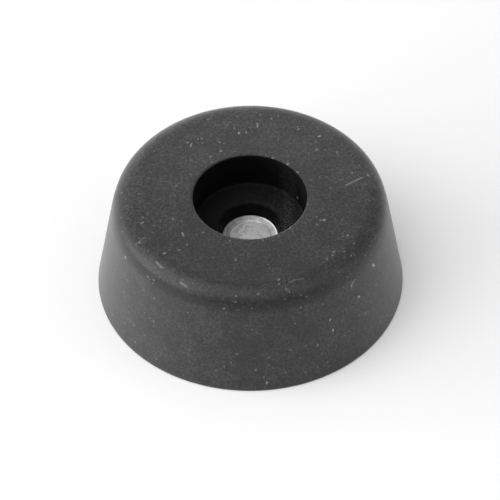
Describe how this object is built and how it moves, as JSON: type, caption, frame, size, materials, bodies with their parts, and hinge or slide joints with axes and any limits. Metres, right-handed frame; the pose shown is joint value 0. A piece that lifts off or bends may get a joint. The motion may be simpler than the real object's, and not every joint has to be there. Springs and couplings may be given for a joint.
{
  "type": "rubber foot",
  "caption": "Round black rubber foot with a sloping flank, a screw recess in its tread and a flanged steel bush moulded in.",
  "frame": {"origin": "centre of the broad mounting face, on the axis of the screw bore", "axes": "+Z along the axis, from the mounting face towards the tread with the screw recess"},
  "size_m": [0.038, 0.038, 0.015],
  "materials": {
    "black_rubber": "matt moulded rubber with a soft sheen and pale dust",
    "bright_steel": "bright satin steel, drawn bore with a polished entry"
  },
  "bodies": {
    "root": {"rubber_body": "black_rubber", "steel_bush": "bright_steel"}
  },
  "joints": []
}
